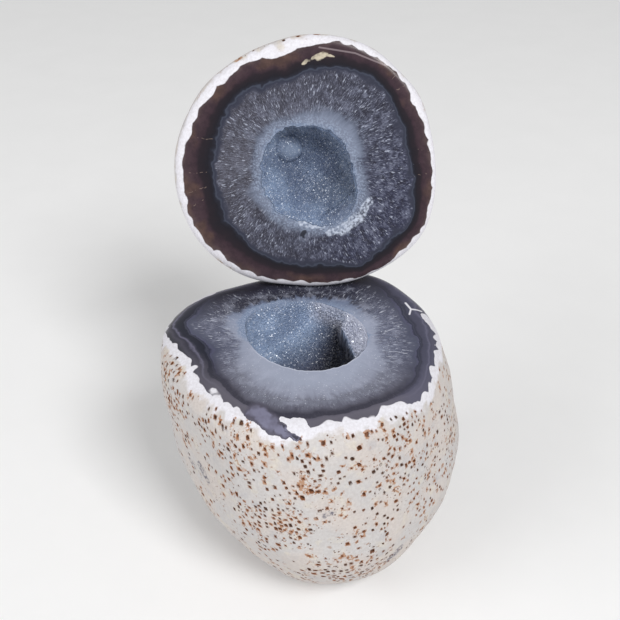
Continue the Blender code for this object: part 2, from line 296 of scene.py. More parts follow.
def markGrowth(mesh, segments, edgeRing, mouthRing, outward, middle, bands, mirror):
    # gives each vertex its place in the growth bands; the way out from the middle runs on down the side
    ringLayer = mesh.verts.layers.int["ring"]
    turnLayer = mesh.verts.layers.float["turn"]
    names = ("growth", "rind", "toneAndShade", "brim", "pit", "rust")
    growth, rind, toneAndShade, brim, pit, rust = (mesh.verts.layers.float.new(name) for name in names)
    faceSpot = mesh.verts.layers.float_vector.new("faceSpot")
    columns = {}
    for vertex in mesh.verts:
        columns.setdefault(round(vertex[turnLayer] / math.tau * segments), {})[vertex[ringLayer]] = vertex
    for column in columns.values():
        out, last = 0.0, None
        order = sorted(column, key=lambda ring: outward * ring)
        for ring in order:
            vertex = column[ring]
            flat = vertex.co.xy - middle
            if outward * ring <= outward * edgeRing:
                out = flat.length
            else:
                out += (vertex.co - last).length
            last = vertex.co.copy()
            angle = math.atan2(flat.y, flat.x) * mirror
            edge = smoothLoop(bands["rind"], angle)
            off = (angle - bands["tongueTurn"] + math.pi) % math.tau - math.pi
            edge += bands["tongueLength"] * math.exp(-(off / bands["tongueWidth"]) ** 2)
            dark = smoothLoop(bands["dark"], angle)
            pale = smoothLoop(bands["pale"], angle)
            if out > dark:
                vertex[growth] = max(-1.0, (edge - out) / (edge - dark))
            elif out > pale:
                vertex[growth] = 1.0 + (dark - out) / (dark - pale)
            else:
                vertex[growth] = 2.0 + min(1.0, (pale - out) / 0.010)
            vertex[rind] = (out - edge) * 1000
            vertex[brim] = (vertex.co - column.get(mouthRing, vertex).co).length * 1000
            vertex[toneAndShade] = smoothLoop(bands["toneAndShade"], angle)
            vertex[faceSpot] = Vector((flat.x, flat.y * mirror, 0.0))


# Pits in the rind: thicker in some places, given by their middles and radii in metres
basePits = {
    "count": 1700,
    "seed": 11,
    "least": 0.03,
    "fill": (0.28, 0.86),  # how much of its opening a pit takes
    "depth": 1.1,  # for a radius of one
    "clearOfAgate": 3.6,
    "crowds": (
        (-0.0650, -0.0150, 0.0975, 0.0075, 1.6),
        (-0.0620, -0.0220, 0.0920, 0.0060, 1.0),
        (-0.0500, -0.0400, 0.0920, 0.0060, 0.5),
        (-0.0357, -0.0490, 0.0950, 0.0080, 0.5),
        (-0.0330, -0.0520, 0.0873, 0.0080, 0.4),
        (-0.0280, -0.0559, 0.0600, 0.0090, 0.9),
        (-0.0155, -0.0603, 0.0640, 0.0080, 0.8),
        (0.0043, -0.0574, 0.0330, 0.0100, 0.9),
        (0.0150, -0.0500, 0.0300, 0.0100, 0.5),
        (0.0260, -0.0420, 0.0960, 0.0090, 0.7),
        (0.0211, -0.0495, 0.0750, 0.0140, 0.4),
        (0.0439, -0.0241, 0.0700, 0.0160, 0.4),
        (-0.0097, -0.0596, 0.0930, 0.0080, 0.6),
    ),
}
lidPits = {
    "count": 220,
    "seed": 12,
    "least": 0.04,
    "fill": (0.4, 0.6),
    "depth": 1.0,
    "clearOfAgate": 3.6,
    "crowds": (),
}


def facesByPlace(faces):  # in an order that is the same in every run
    return sorted(faces, key=lambda face: sorted(vertex.co[:] for vertex in face.verts))


def verticesByPlace(vertices):
    return sorted(vertices, key=lambda vertex: vertex.co[:])


def pitChance(point, pits):
    drift = noise.noise(point / 0.012 + Vector((3.1, 0.4, 7.7))) + 1.1 * noise.noise(point / 0.0045)
    thickness = pits["least"] + 1.1 * max(0.0, drift) ** 1.6
    for *middle, reach, more in pits["crowds"]:
        thickness += more * math.exp(-((point - Vector(middle)).length / reach) ** 2)
    return thickness


def pitSize(point):  # wide cups low down, small holes on the right
    return (1.0 + 0.5 * clip((0.060 - point.z) / 0.025)) * (0.78 if point.x > 0.026 else 1.0)


def sinkPits(mesh, lowest, highest, pits):
    # between two rings, the faces round one, two or four neighbouring vertices become one opening,
    # which is rounded and pushed in
    chance = random.Random(pits["seed"])
    ring = mesh.verts.layers.int["ring"]
    rind = mesh.verts.layers.float["rind"]
    order = [v for v in mesh.verts if lowest < v[ring] < highest and v[rind] > pits["clearOfAgate"]]
    allowed = set(order)
    chance.shuffle(order)
    taken = set()
    picked = []
    count = 0
    for vertex in order:
        if count < pits["count"] and chance.random() < pitChance(vertex.co, pits):
            group = [vertex]
            kind = chance.random() * pitSize(vertex.co)
            if kind > 1.18:
                group = list(chance.choice(vertex.link_faces).verts)
            elif kind > 0.62:
                group.append(chance.choice(vertex.link_edges).other_vert(vertex))
            around = {face for member in group for face in member.link_faces}
            if allowed.issuperset(group) and not taken & around:
                taken |= around
                picked.extend(group)
                count += 1
    bmesh.ops.dissolve_verts(mesh, verts=picked)
    openings = facesByPlace([face for face in mesh.faces if len(face.verts) > 4])
    pit = mesh.verts.layers.float["pit"]
    rust = mesh.verts.layers.float["rust"]
    shapes = []
    for face in openings:
        middle = face.calc_center_median()
        normal = face.normal.copy()
        farthest = max(face.verts, key=lambda vertex: (vertex.co - middle).length)
        far = (farthest.co - middle).length
        near = min((vertex.co - middle).length for vertex in face.verts)
        halo = min(1.0, chance.random() ** 1.5 + max(0.0, noise.noise(middle / 0.008)))
        for vertex in face.verts:
            vertex[rust] = max(vertex[rust], halo * 0.6)
        across = (farthest.co - middle).cross(normal).normalized()
        turn = quarter + chance.uniform(-0.3, 0.3)
        least, most = pits["fill"]
        low = clip((0.045 - middle.z) / 0.030)
        radius = far * 0.74 * (least + (most - least) * chance.random() ** (1.7 - low))
        narrow = min(1.0, near * 0.84 / radius) * chance.uniform(0.5, 1.0)
        stain = (chance.uniform(0, math.tau), chance.choice((0.0, 0.2, 0.5, 1.0)))
        shapes.append((middle, normal, across, turn, radius, narrow, halo, stain))
    for share, sink, mark in ((1.0, 0.0, 0.35), (0.74, 0.8, 0.8)):
        bmesh.ops.inset_individual(mesh, faces=openings, thickness=0.00005)
        for face, (middle, normal, across, turn, radius, narrow, halo, stain) in zip(openings, shapes):
            along = normal.cross(across)
            deep = pits["depth"] * radius * sink
            for vertex in face.verts:
                away = vertex.co - middle
                angle = math.atan2(away.dot(along), away.dot(across))
                long, short = math.cos(angle - turn), math.sin(angle - turn) / narrow
                size = share * radius / math.hypot(long, short)
                rough = 1.0 + 0.5 * noise.noise(vertex.co / 0.0005)
                flat = (across * math.cos(angle) + along * math.sin(angle)) * size * rough
                vertex.co = middle + flat - normal * deep
                stained = 0.5 + 0.5 * math.cos(angle - stain[0])
                vertex[pit] = mark * (stain[1] + (1.0 - stain[1]) * stained)
                vertex[rust] = halo if share == 1.0 else halo * 0.7
    for vertex in verticesByPlace(bmesh.ops.poke(mesh, faces=openings)["verts"]):
        vertex.normal_update()
        vertex.co -= vertex.normal * 0.0004 * chance.uniform(0.3, 1.0)
        vertex[pit] = chance.choice((0.3, 0.6, 0.9, 1.0))
        vertex[rust] = chance.random()


# The crystal crusts that line the hollows
crust = {
    "thickness": 0.0012,
    "rebate": 0.00012,  # the crystals' upper edge stays this far below the sawn face
    "fineness": 7,
    "wallRings": 12,
    "scatter": 0.00014,
    "pointHeight": (0.00022, 0.00058),
    "pointLean": 0.5,
    "lumpHeight": 0.0010,
    "lumpSize": 0.0065,
}


def shellGrow(share, gap):  # the crust thins out to nothing at the mouth, and the gap behind it closes up
    return crust["thickness"] * (1.0 - share ** 5) + gap * (0.00012 + 0.00045 * (1.0 - share ** 8))


def shellPoint(hollow, angle, ring, gap):  # ring 0 is at the mouth, the last one is the bottom
    share = 1.0 - ring / crust["wallRings"]
    return hollowPoint(hollow, angle, evenReach(hollow, angle, share), shellGrow(share, gap))


def baseSide(angle, share):
    height = share * (nodule["cutHeight"] - rimWidth(baseHalf, angle) * baseHalf["rimFall"])
    spot = nodule["axisDrift"] * height + direction(angle) * baseRadius(angle, height)
    point = Vector((spot.x, spot.y, height))
    return lumped(point, min(1.0, share * 30, (1.0 - share) * 12)) if height > 0 else point


def baseGround(angle, share):
    return baseSide(angle, 0.0) * share


def baseRim(angle, turn):
    height = nodule["cutHeight"] - rimWidth(baseHalf, angle) * baseHalf["rimFall"] * (1.0 - math.sin(turn))
    inset = rimWidth(baseHalf, angle) * (1.0 - math.cos(turn))
    spot = nodule["axisDrift"] * height + direction(angle) * (baseRadius(angle, height) - inset)
    point = Vector((spot.x, spot.y, height))
    return point.lerp(lumped(point, 0.0), math.cos(turn) ** 2)


def baseWall(angle, ring):
    return inBase(shellPoint(baseHollow, angle, ring, 1.0))


def baseFace(angle, share):
    return baseRim(angle, quarter).lerp(baseWall(angle, 0), share)


def lidDome(angle, depth, inset=0.0):
    away = direction(angle) * (lidRadius(angle, depth) - inset)
    spot = lidHalf["middle"] + nodule["axisDrift"] * depth + away
    return Vector((spot.x, spot.y, depth))


def lidSide(angle, share):
    edge = rimWidth(lidHalf, angle) * lidHalf["rimFall"]
    return lumped(lidDome(angle, edge + (nodule["lidDepth"] - edge) * share), min(1.0, share * 12))


def lidRim(angle, turn):
    depth = rimWidth(lidHalf, angle) * lidHalf["rimFall"] * (1.0 - math.sin(turn))
    point = lidDome(angle, depth, rimWidth(lidHalf, angle) * (1.0 - math.cos(turn)))
    return point.lerp(lumped(point, 0.0), math.cos(turn) ** 2)


def lidWall(angle, ring):
    return inLid(shellPoint(lidHollow, angle, ring, 1.0))


def lidFace(angle, share):
    return lidWall(angle, 0).lerp(lidRim(angle, quarter), share)


def geodeBase():
    half = baseHalf
    stations = [partial(baseGround, share=k / half["groundRings"]) for k in range(1, half["groundRings"])]
    stations += [partial(baseSide, share=(k / half["sideRings"]) ** 1.15) for k in range(half["sideRings"])]
    stations += [partial(baseRim, turn=k / half["rimRings"] * quarter) for k in range(half["rimRings"] + 1)]
    edgeRing = len(stations)
    stations += [partial(baseFace, share=k / half["faceRings"]) for k in range(1, half["faceRings"] + 1)]
    mouthRing = len(stations)
    stations += [partial(baseWall, ring=k) for k in range(1, crust["wallRings"])]
    mesh = shapedBall(half["segments"], stations, Vector(), baseWall(0.0, crust["wallRings"]))
    markGrowth(mesh, half["segments"], edgeRing, mouthRing, -1, baseAxis, baseBands, 1)
    sinkPits(mesh, half["groundRings"] + 6, edgeRing, basePits)
    return mesh


def geodeLid():
    half = lidHalf
    stations = [partial(lidWall, ring=k) for k in range(crust["wallRings"] - 1, 0, -1)]
    mouthRing = len(stations) + 1
    stations += [partial(lidFace, share=k / half["faceRings"]) for k in range(half["faceRings"])]
    edgeRing = len(stations) + 1
    rimRings = half["rimRings"]
    stations += [partial(lidRim, turn=k / rimRings * quarter) for k in range(rimRings, -1, -1)]
    domeRings = half["domeRings"]
    stations += [partial(lidSide, share=math.sin(k / domeRings * quarter)) for k in range(1, domeRings)]
    mesh = shapedBall(half["segments"], stations, lidWall(0.0, crust["wallRings"]), lidSide(0.0, 1.0))
    markGrowth(mesh, half["segments"], edgeRing, mouthRing, 1, half["middle"], lidBands, -1)
    sinkPits(mesh, edgeRing, len(stations) - 14, lidPits)
    bmesh.ops.transform(mesh, matrix=lidPlace, verts=mesh.verts)
    return mesh


def crystalCrust(hollow, place, knobs, seed):
    # the lower half of an icosphere is laid into the hollow, crystals grow on it, and it gets a plain back
    chance = random.Random(seed)
    mesh = bmesh.new()
    bmesh.ops.create_icosphere(mesh, subdivisions=crust["fineness"], radius=1.0)
    everything = [*mesh.verts, *mesh.edges, *mesh.faces]
    halving = {"dist": 1e-6, "plane_co": (0, 0, 0), "plane_no": (0, 0, 1), "clear_outer": True}
    bmesh.ops.bisect_plane(mesh, geom=everything, **halving)
    bmesh.ops.remove_doubles(mesh, verts=mesh.verts, dist=0.003)
    names = ("turn", "ledge", "depth", "paintedShade", "paintedShadow", "dome")
    turn, ledge, depth, paintedShade, paintedShadow, dome = (mesh.verts.layers.float.new(name) for name in names)
    glint = mesh.faces.layers.float.new("glint")
    rim = {vertex for edge in mesh.edges if edge.is_boundary for vertex in edge.verts}
    for vertex in mesh.verts:
        angle = math.atan2(vertex.co.y, vertex.co.x)
        share = 1.0 if vertex in rim else math.acos(min(1.0, max(-1.0, -vertex.co.z))) / quarter
        reach = 1.0 if vertex in rim else evenReach(hollow, angle, share)
        spot = hollowPoint(hollow, angle, reach, 0.0)
        vertex[turn] = angle
        vertex[depth] = spot.z / hollow["depth"]
        brink = brinkReach(hollow, angle)
        onLedge = min(1.0, (1.0 - brink) * 4) * clip((reach - brink) * 24 + 0.15)
        fromLedge = (angle - hollow["ledgeSide"] + math.pi) % math.tau - math.pi
        behind = clip((1.42 - fromLedge) * 4) if fromLedge > 0.5 else 0.0
        behind *= clip((0.34 - vertex[depth]) * 7) * 0.8
        vertex[ledge] = max(onLedge, behind) * hollow["paleLedge"]
        # painted shade deep in the hollow towards the front, a near-black painted shadow deep below the
        # brink, and on the lid painted shade over the ledge
        toLedge = (spot.xy - hollow["mouth"]).dot(direction(hollow["ledgeSide"])) / hollow["brink"]
        toFront = (spot.xy - hollow["mouth"]).dot(Vector((0.66, -0.75)))
        below = hollow["paintedShade"] * clip((vertex[depth] - 0.14) * 8)
        vertex[paintedShade] = max(below * clip((toFront + 0.017) / 0.012), onLedge * hollow["darkLedge"])
        under = hollow["paintedShade"] * clip((vertex[depth] - 0.15) * 20)
        vertex[paintedShadow] = under * clip((toLedge - 0.16) * 2.2) * clip((toFront + 0.013) / 0.012)
        spot.z += crust["rebate"]
        vertex.co = place(spot)
    if place is inLid:
        bmesh.ops.reverse_faces(mesh, faces=mesh.faces)
    bmesh.ops.recalc_face_normals(mesh, faces=mesh.faces)
    middle = place(Vector((hollow["bottom"].x, hollow["bottom"].y, 0.0)))
    mesh.normal_update()
    sample = max(mesh.faces, key=lambda face: (face.calc_center_median() - middle).length)
    if sample.normal.dot(middle - sample.calc_center_median()) < 0:
        bmesh.ops.reverse_faces(mesh, faces=mesh.faces)
        mesh.normal_update()
    for vertex in mesh.verts:
        if vertex in rim:
            continue
        free = min(1.0, vertex[depth] * 9)
        lump = noise.noise(vertex.co / crust["lumpSize"]) * crust["lumpHeight"]
        for spot, radius, height in knobs:
            off = (vertex.co.xy - place(Vector((spot[0], spot[1], 0.0))).xy).length / radius
            lump += height * math.sqrt(max(0.0, 1.0 - off * off))
            vertex[dome] = max(vertex[dome], clip((1.0 - off) * 2))
        rough = (1.0 + 2.2 * vertex[ledge]) * (1.0 - 0.8 * vertex[dome])
        jitter = Vector([chance.uniform(-1, 1) for _ in range(3)]) * crust["scatter"] * rough
        vertex.co += (vertex.normal * (lump + 0.0002) + jitter) * free
    mesh.normal_update()
    order = [vertex for vertex in mesh.verts if vertex not in rim]
    chance.shuffle(order)
    taken = set()
    picked = []
    for vertex in order:
        if not taken.intersection(vertex.link_faces) and vertex[depth] > 0.01:
            taken.update(vertex.link_faces)
            picked.append(vertex)
    bmesh.ops.dissolve_verts(mesh, verts=picked)
    crystals = facesByPlace([face for face in mesh.faces if len(face.verts) > 4])
    for vertex in verticesByPlace(bmesh.ops.poke(mesh, faces=crystals)["verts"]):
        vertex.normal_update()
        lean = Vector([chance.uniform(-1, 1) for _ in range(3)]) * crust["pointLean"]
        rise = chance.uniform(*crust["pointHeight"]) * (1.0 + 0.8 * vertex[ledge])
        vertex.co += (vertex.normal + lean).normalized() * (rise * (1.0 - 0.8 * vertex[dome]))
    for face in facesByPlace(mesh.faces):
        face[glint] = chance.random()
    loop = [edge for edge in mesh.edges if edge.is_boundary]
    for ring in range(1, crust["wallRings"] + 1):
        extruded = bmesh.ops.extrude_edge_only(mesh, edges=loop)["geom"]
        loop = [item for item in extruded if isinstance(item, bmesh.types.BMEdge)]
        for vertex in (item for item in extruded if isinstance(item, bmesh.types.BMVert)):
            spot = shellPoint(hollow, vertex[turn], ring - 0.3, 0.0)
            spot.z += crust["rebate"]
            vertex.co = place(spot)
    loop = [edge for edge in loop if edge.is_boundary]
    bmesh.ops.edgeloop_fill(mesh, edges=loop)
    bmesh.ops.poke(mesh, faces=[face for face in mesh.faces if len(face.verts) > 4])
    bmesh.ops.recalc_face_normals(mesh, faces=mesh.faces)
    if place is inLid:
        bmesh.ops.transform(mesh, matrix=lidPlace, verts=mesh.verts)
    return mesh


# Small helpers that place the nodes of a material
class Signal:  # what a node gives out; sums and products of signals are nodes too
    def __init__(self, socket):
        self.socket = socket
        self.tree = socket.id_data

    def also(self, output):  # another output of the same node
        return Signal(self.socket.node.outputs[output])

    def __add__(self, other):
        return maths("ADD", self, other)

    def __sub__(self, other):
        return maths("SUBTRACT", self, other)

    def __rsub__(self, other):
        return maths("SUBTRACT", other, self)

    def __mul__(self, other):
        return maths("MULTIPLY", self, other)

    def __truediv__(self, other):
        return maths("DIVIDE", self, other)

    def __rtruediv__(self, other):
        return maths("DIVIDE", other, self)


def fill(node, inputs):  # links a signal to its input, and sets any other value there
    for name, value in inputs.items():
        if isinstance(value, Signal):
            value.tree.links.new(value.socket, node.inputs[name])
        else:
            node.inputs[name].default_value = value


def addNode(kind, inputs, output=0, tree=None, **settings):
    if tree is None:
        tree = next(value.tree for value in inputs.values() if isinstance(value, Signal))
    node = tree.nodes.new(kind)
    for name, value in settings.items():
        setattr(node, name, value)
    fill(node, inputs)
    return Signal(node.outputs[output])


def maths(operation, a, b=0.0):
    return addNode("ShaderNodeMath", {0: a, 1: b}, operation=operation)


def vectorMaths(operation, a, b=(0.0, 0.0, 0.0), output=0):
    return addNode("ShaderNodeVectorMath", {0: a, 1: b}, output, operation=operation)


def scaled(vector, factor):
    return addNode("ShaderNodeVectorMath", {0: vector, "Scale": factor}, operation="SCALE")


def spread(value, low, high, toLow=0.0, toHigh=1.0):
    sockets = {0: value, 1: low, 2: high, 3: toLow, 4: toHigh}
    return addNode("ShaderNodeMapRange", sockets, interpolation_type="SMOOTHSTEP")


def linear(value):  # from a screen value, 0 to 255
    value /= 255
    return value / 12.92 if value < 0.0405 else ((value + 0.055) / 1.055) ** 2.4


def colour(shade):  # a shade is a signal, or red, green and blue as screen values
    return shade if isinstance(shade, Signal) else (*map(linear, shade), 1.0)


def mixed(share, a, b):
    return addNode("ShaderNodeMix", {0: share, 6: colour(a), 7: colour(b)}, 2, data_type="RGBA")


def painted(shade, coats):  # each coat is a share and a shade
    for share, other in coats:
        shade = mixed(share, shade, other)
    return shade


def fading(value, low, high):
    return spread(value, low, high, 1.0, 0.0)


def cloud(spot, scale, detail=2.0, rough=0.5):
    sockets = {"Vector": spot, "Scale": scale, "Detail": detail, "Roughness": rough}
    return addNode("ShaderNodeTexNoise", sockets)


def bandRamp(value, stops):
    ramp = addNode("ShaderNodeValToRGB", {0: value})
    points = ramp.socket.node.color_ramp.elements
    for index, (place, *shade) in enumerate(stops):
        point = points[index] if index < 2 else points.new(place)
        point.position = place
        point.color = colour(shade)
    return ramp


def stored(tree, name, output=2):
    return addNode("ShaderNodeAttribute", {}, output, tree, attribute_name=name)


def objectSpot(tree):
    return addNode("ShaderNodeTexCoord", {}, 3, tree)


def newGroup(name, inputs, outputs):
    tree = bpy.data.node_groups.new(name, "ShaderNodeTree")
    for way, labels in (("INPUT", inputs), ("OUTPUT", outputs)):
        for label, kind in labels.items():
            tree.interface.new_socket(name=label, in_out=way, socket_type="NodeSocket" + kind)
    given = tree.nodes.new("NodeGroupInput").outputs
    return tree, [Signal(given[label]) for label in inputs], tree.nodes.new("NodeGroupOutput")


def newMaterial(name, roughness, specular):
    material = bpy.data.materials.new(name)
    material.use_nodes = True
    shader = material.node_tree.nodes["Principled BSDF"]
    fill(shader, {"Roughness": roughness, "Specular IOR Level": specular, "IOR": 1.54})
    return material, material.node_tree, shader


def rindSurfaceGroup():
    tree, (spot, fromAgate, pit, rust), result = newGroup(
        "rindSurface",
        {"Spot": "Vector", "FromAgate": "Float", "Pit": "Float", "Rust": "Float"},
        {"Colour": "Color", "Roughness": "Float", "Height": "Float"},
    )
    middling = cloud(spot, 190.0, 3.0)
    fine = cloud(spot, 900.0, 3.0, 0.6)
    plain = painted((208, 200, 195), (
        (spread(cloud(spot, 65.0), 0.38, 0.62), (203, 200, 199)),
        (spread(middling, 0.54, 0.70, 0.0, 0.5), (217, 209, 194)),
        (spread(cloud(spot, 120.0, 3.0), 0.58, 0.72, 0.0, 0.45), (178, 178, 184)),
    ))
    pure = fading(fromAgate + (middling - 0.5) * 9.0, 3.0, 6.0)
    plain = painted(plain, ((pure, (230, 229, 236)), (spread(fine, 0.30, 0.70, 0.22, 0.0), (150, 138, 134))))
    # specks and blots too small to be pits
    cells = addNode("ShaderNodeTexVoronoi", {"Vector": spot, "Scale": 640.0})
    size = addNode("ShaderNodeSeparateColor", {0: cells.also("Color")}) * 0.26
    where = spread(cloud(spot, 110.0), 0.48, 0.60) * (1.0 - pure)
    speck = maths("LESS_THAN", cells, size) * where
    speckled = mixed(speck, plain, (104, 78, 66))
    blot = spread(cloud(spot, 620.0), 0.61, 0.68) * where
    speckled = mixed(blot * 0.75, speckled, (154, 112, 84))
    # rust round the pits, and the dark of the pits
    stain = rust * spread(cloud(spot, 800.0), 0.38, 0.62)
    rusty = mixed(spread(stain, 0.20, 0.55, 0.0, 0.85), speckled, (170, 124, 90))
    brown = mixed(spread(rust, 0.0, 0.6), (100, 75, 62), (138, 90, 61))
    sunk = mixed(spread(pit, 0.05, 0.35), rusty, brown)
    dark = mixed(spread(pit, 0.50, 1.0), sunk, (58, 38, 32))
    fill(result, {"Colour": dark, "Roughness": spread(fine, 0.3, 0.7, 0.48, 0.66), "Height": fine - speck})
    return tree


def crystalStreaksGroup():
    # strokes that run outwards from the middle of a face, as the columns of quartz do
    tree, (faceSpot, stroke, across), result = newGroup(
        "crystalStreaks",
        {"FaceSpot": "Vector", "Stroke": "Float", "Across": "Float"},
        {"Streak": "Float", "Fleck": "Float", "Feather": "Float"},
    )
    ringRadius = 0.036
    away = vectorMaths("LENGTH", faceSpot, output=1)
    wrapped = scaled(vectorMaths("NORMALIZE", faceSpot), ringRadius / across)
    parts = addNode("ShaderNodeSeparateXYZ", {0: wrapped})
    spot = addNode("ShaderNodeCombineXYZ", {0: parts, 1: parts.also(1), 2: away / stroke})
    fill(result, {
        "Streak": cloud(spot, 0.55, 4.0, 0.6),
        "Fleck": spread(cloud(spot, 1.25, 2.0, 0.6), 0.60, 0.70),
        "Feather": cloud(spot, 2.2, 5.0, 0.75),
    })
    return tree


def lineMarkGroup():
    # a stroke between two points, with a soft edge
    tree, (spot, start, end, width), result = newGroup(
        "lineMark",
        {"Spot": "Vector", "From": "Vector", "To": "Vector", "Width": "Float"},
        {"Mask": "Float"},
    )
    along = vectorMaths("SUBTRACT", end, start)
    offset = vectorMaths("SUBTRACT", spot, start)
    share = vectorMaths("DOT_PRODUCT", offset, along, 1) / vectorMaths("DOT_PRODUCT", along, along, 1)
    share.socket.node.use_clamp = True
    away = vectorMaths("DISTANCE", offset, scaled(along, share), 1)
    fill(result, {"Mask": spread(away, width * 0.35, width * 0.60, 1.0, 0.0)})
    return tree


def brokenSpotGroup():
    # shifts a position by fine noise, so that a mark laid on it gets a ragged outline
    tree, (spot, scale, shift), result = newGroup(
        "brokenSpot", {"Spot": "Vector", "Scale": "Float", "Shift": "Float"}, {"Spot": "Vector"}
    )
    noises = addNode("ShaderNodeTexNoise", {"Vector": spot, "Scale": scale}, 1)
    centred = vectorMaths("SUBTRACT", noises, (0.5, 0.5, 0.5))
    fill(result, {"Spot": vectorMaths("ADD", spot, scaled(centred, shift))})
    return tree


rindSurface = rindSurfaceGroup()
crystalStreaks = crystalStreaksGroup()
lineMark = lineMarkGroup()
brokenSpot = brokenSpotGroup()


def useGroup(group, **inputs):
    return addNode("ShaderNodeGroup", inputs, node_tree=group)


def broken(spot, scale, shift):
    return useGroup(brokenSpot, Spot=spot, Scale=scale, Shift=shift)


def strokes(spot, marks):  # one mask for several strokes, each with a start, an end and a width
    mask = 0.0
    for *ends, width in marks:
        start, end = (Vector(point).to_3d() for point in ends)
        mask = maths("MAXIMUM", useGroup(lineMark, Spot=spot, From=start, To=end, Width=width), mask)
    return mask


def stoneParts(tree, lobeHeight):
    # what the two stones' materials share: where the surface lies among the bands, and the rind's lobed edge
    spot = objectSpot(tree)
    wave = cloud(spot, 130.0, 1.0) - 0.5
    ripple = cloud(spot, 420.0, 1.0) - 0.5
    growth = stored(tree, "growth")
    bent = growth + (wave * 0.42 + ripple * 0.16)
    bulge = maths("ABSOLUTE", cloud(spot, 150.0, 0.0) - 0.5)
    lobes = (0.10 - bulge) * lobeHeight
    fromAgate = stored(tree, "rind") - (lobes + (wave * 2.0 + ripple * 0.8))
    toneAndShade, brim = stored(tree, "toneAndShade"), stored(tree, "brim")
    return spot, growth, bent, fromAgate, toneAndShade, brim, stored(tree, "faceSpot", 1)


def finishStone(shader, spot, fromAgate, face, scuffs=()):
    faceRoughness = 0.27
    tree = spot.tree
    pit, rust = stored(tree, "pit"), stored(tree, "rust")
    rind = useGroup(rindSurface, Spot=spot, FromAgate=fromAgate, Pit=pit, Rust=rust)
    rindColour = rind
    if scuffs:
        worn = spread(cloud(spot, 700.0, 3.0), 0.42, 0.62, 0.1, 0.9)
        rindColour = mixed(strokes(broken(spot, 300.0, 0.0034), scuffs) * worn, rind, (96, 94, 108))
    share = spread(fromAgate, -0.22, 0.22)
    bump = {"Strength": 0.35, "Distance": 0.00025, "Height": rind.also("Height") * share}
    fill(shader, {
        "Base Color": mixed(share, face, rindColour),
        "Roughness": addNode("ShaderNodeMix", {0: share, 2: faceRoughness, 3: rind.also("Roughness")}),
        "Normal": addNode("ShaderNodeBump", bump),
    })


# Marks on the base, each with a start, an end and a width in metres
baseMarks = {
    "tongueShade": (
        ((-0.0203, -0.0492, 0.1046), (-0.0182, -0.0520, 0.1028), 0.0013),
        ((-0.0182, -0.0520, 0.1028), (-0.0148, -0.0543, 0.1017), 0.0014),
    ),
    "tongue": (
        ((-0.0300, -0.0430, 0.1049), (-0.0240, -0.0488, 0.1038), 0.0080),
        ((-0.0240, -0.0488, 0.1038), (-0.0190, -0.0525, 0.1025), 0.0050),
        ((-0.0190, -0.0525, 0.1025), (-0.0145, -0.0545, 0.1016), 0.0026),
    ),
    "knob": (
        ((-0.0204, -0.0478, 0.1048), (-0.0150, -0.0503, 0.1045), 0.0030),
        ((-0.0150, -0.0502, 0.1045), (-0.0140, -0.0506, 0.1044), 0.0072),
        ((-0.0140, -0.0510, 0.1044), (-0.0095, -0.0545, 0.1020), 0.0062),
    ),
    "white": (
        ((0.0312, 0.0281, 0.1060), (0.0331, 0.0234, 0.1060), 0.0010),
        ((0.0331, 0.0234, 0.1060), (0.0322, 0.0195, 0.1060), 0.0008),
        ((0.0331, 0.0234, 0.1060), (0.0375, 0.0225, 0.1055), 0.0011),
    ),
    "needles": (
        ((0.0221, -0.0068, 0.1060), (0.0293, -0.0081, 0.1060), 0.0006),
        ((0.0209, 0.0064, 0.1060), (0.0250, 0.0092, 0.1060), 0.0006),
        ((0.0190, -0.0107, 0.1060), (0.0246, -0.0101, 0.1060), 0.0005),
    ),
    "rightPatch": (
        ((0.0388, 0.0189, 0.1054), (0.0425, 0.0110, 0.1045), 0.0050),
    ),
    "scuffs": (
        ((-0.0582, -0.0230, 0.0620), (-0.0575, -0.0245, 0.0605), 0.0040),
        ((-0.0535, -0.0305, 0.0655), (-0.0516, -0.0330, 0.0620), 0.0060),
        ((0.0235, -0.0445, 0.0285), (0.0270, -0.0432, 0.0325), 0.0050),
        ((-0.0040, -0.0605, 0.0690), (-0.0010, -0.0608, 0.0700), 0.0030),
    ),
}

# The bands' colours from the rind inwards, at the sides, in front and at the back: the front ramp paler and
# the back one darker, painted light and shade
baseShades = {
    "sides": (
        (0.00, 58, 58, 66), (0.045, 74, 72, 84), (0.095, 54, 53, 65), (0.125, 106, 104, 124),
        (0.145, 60, 60, 74), (0.170, 40, 42, 54), (0.262, 37, 39, 51), (0.285, 66, 68, 84),
        (0.298, 48, 50, 65), (0.318, 86, 87, 110), (0.340, 80, 83, 101), (0.42, 97, 100, 118),
        (0.56, 108, 112, 131), (0.645, 150, 156, 175), (0.80, 162, 168, 187),
    ),
    "front": (
        (0.00, 92, 89, 99), (0.13, 98, 95, 106), (0.198, 90, 87, 99), (0.218, 58, 57, 68),
        (0.315, 58, 57, 69), (0.358, 78, 77, 89), (0.41, 100, 100, 114), (0.50, 115, 117, 131),
        (0.60, 119, 121, 135), (0.70, 146, 150, 167), (0.90, 160, 166, 184),
    ),
    "rear": (
        (0.00, 82, 80, 95), (0.10, 90, 88, 105), (0.17, 66, 64, 80), (0.25, 46, 45, 58),
        (0.34, 34, 33, 44), (0.46, 50, 50, 64), (0.60, 40, 40, 52), (0.66, 104, 114, 138),
        (0.80, 132, 145, 170),
    ),
}
bandReach = 3.2  # a ramp covers the growth from 0 to this


